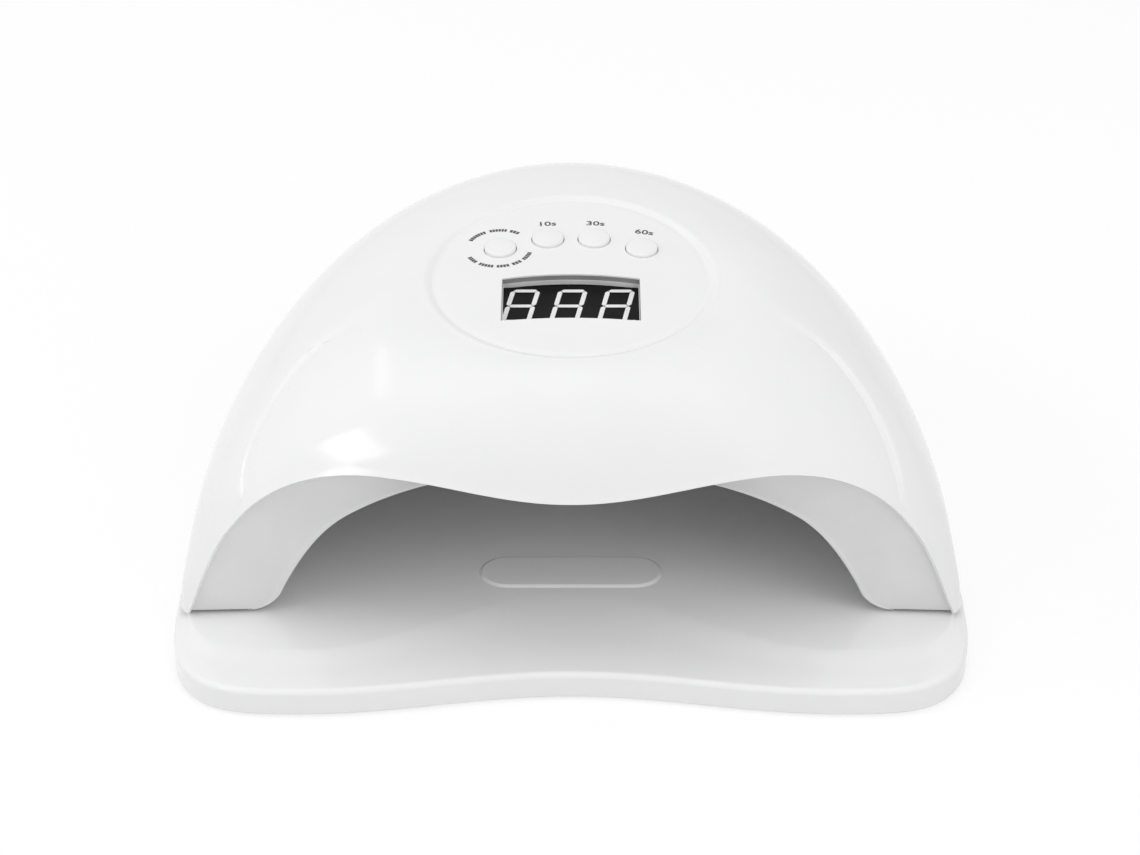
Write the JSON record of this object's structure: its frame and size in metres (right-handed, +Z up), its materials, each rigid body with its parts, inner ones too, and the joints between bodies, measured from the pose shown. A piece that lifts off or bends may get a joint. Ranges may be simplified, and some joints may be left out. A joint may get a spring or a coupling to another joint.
{
  "type": "uv curing lamp",
  "caption": "Domed white LED curing lamp with a wide front opening for a hand, a round control panel with buttons and a display, standing on a flat lift-off tray.",
  "frame": {"origin": "on the table under the middle of the tray", "axes": "+Z up, +X to the right seen from the front, +Y from the hand opening towards the back"},
  "size_m": [0.212, 0.2, 0.0916],
  "materials": {
    "white_plastic": "gloss white moulding",
    "grey_plastic": "light grey satin moulding",
    "black_plastic": "matt black",
    "red_plastic": "red wire insulation",
    "board_green": "green solder mask",
    "strip_white": "white solder mask",
    "rubber": "black rubber",
    "metal": "plated steel",
    "magnet_steel": "nickel plated"
  },
  "bodies": {
    "tray": {"base_tray": "white_plastic", "tray_floor": "white_plastic", "rubber_foot_1": "rubber", "rubber_foot_2": "rubber", "rubber_foot_3": "rubber", "rubber_foot_4": "rubber", "tray_magnet_1": "magnet_steel", "tray_magnet_2": "magnet_steel", "tray_magnet_3": "magnet_steel", "tray_magnet_4": "magnet_steel", "tray_screw_1": "metal", "tray_screw_2": "metal", "tray_screw_3": "metal", "tray_screw_4": "metal"},
    "lamp": {"top_shell": "white_plastic", "inner_liner": "grey_plastic", "led_strip_front": "strip_white", "led_strip_rear": "strip_white", "led_strip_back": "strip_white", "sensor_board": "black_plastic", "control_board": "board_green", "display_module": "black_plastic", "controller_chip": "black_plastic", "buzzer": "black_plastic", "capacitor": "metal", "dc_jack": "black_plastic", "power_lead": "black_plastic", "led_lead_1": "red_plastic", "led_lead_2": "red_plastic", "led_lead_3": "red_plastic", "tact_switch_1": "black_plastic", "tact_switch_2": "black_plastic", "tact_switch_3": "black_plastic", "tact_switch_4": "black_plastic", "board_screw_1": "metal", "board_screw_2": "metal", "board_screw_3": "metal", "board_screw_4": "metal", "case_screw_1": "metal", "case_screw_2": "metal", "case_screw_3": "metal", "case_screw_4": "metal", "lamp_magnet_1": "magnet_steel", "lamp_magnet_2": "magnet_steel", "lamp_magnet_3": "magnet_steel", "lamp_magnet_4": "magnet_steel"},
    "button_1": {"button_cap_1": "white_plastic", "switch_plunger_1": "metal"},
    "button_2": {"button_cap_2": "white_plastic", "switch_plunger_2": "metal"},
    "button_3": {"button_cap_3": "white_plastic", "switch_plunger_3": "metal"},
    "button_4": {"button_cap_4": "white_plastic", "switch_plunger_4": "metal"}
  },
  "joints": [
    {"name": "lamp_lift", "type": "slide", "parent": "tray", "child": "lamp", "axis": [0, 0, 1], "range_m": [0, 0.12]},
    {"name": "button_press_1", "type": "slide", "parent": "lamp", "child": "button_1", "axis": [0, 0.1132, -0.9936], "range_m": [0, 0.0008], "stiffness_N_per_m": 500, "springref_m": -0.0008},
    {"name": "button_press_2", "type": "slide", "parent": "lamp", "child": "button_2", "axis": [0, 0.1132, -0.9936], "range_m": [0, 0.0008], "stiffness_N_per_m": 500, "springref_m": -0.0008},
    {"name": "button_press_3", "type": "slide", "parent": "lamp", "child": "button_3", "axis": [0, 0.1132, -0.9936], "range_m": [0, 0.0008], "stiffness_N_per_m": 500, "springref_m": -0.0008},
    {"name": "button_press_4", "type": "slide", "parent": "lamp", "child": "button_4", "axis": [0, 0.1132, -0.9936], "range_m": [0, 0.0008], "stiffness_N_per_m": 500, "springref_m": -0.0008}
  ]
}
